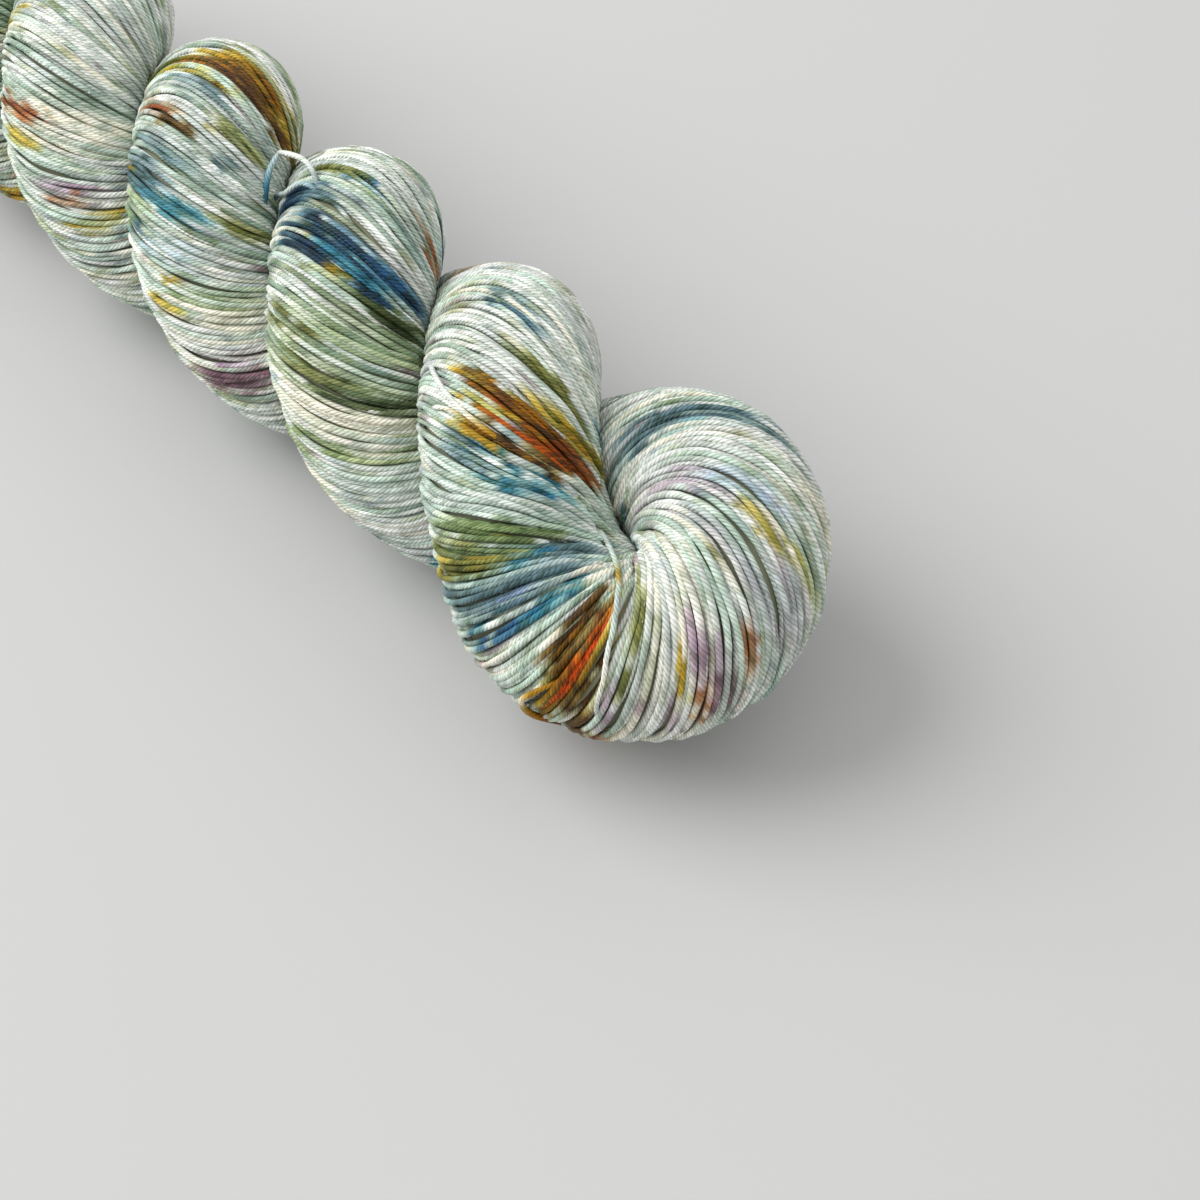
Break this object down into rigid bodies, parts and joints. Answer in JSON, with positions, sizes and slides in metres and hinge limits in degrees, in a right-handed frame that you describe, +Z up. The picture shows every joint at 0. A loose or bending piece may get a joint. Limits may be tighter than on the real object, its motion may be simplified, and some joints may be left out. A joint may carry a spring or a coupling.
{
  "type": "twisted hank of yarn",
  "caption": "Hank of hand-dyed plied yarn, folded in two, twisted on itself and tucked at one end, lying on a surface.",
  "frame": {"origin": "on the surface under the middle of the hank's bounding box", "axes": "+X along the hank towards its fold, +Y across it, +Z up from the surface that it lies on"},
  "size_m": [0.2954, 0.068, 0.0575],
  "materials": {
    "yarn": "plied wool, soft low sheen, mint and cream with rust, blue, olive and mauve dye"
  },
  "bodies": {
    "root": {"hank": "yarn"}
  },
  "joints": []
}
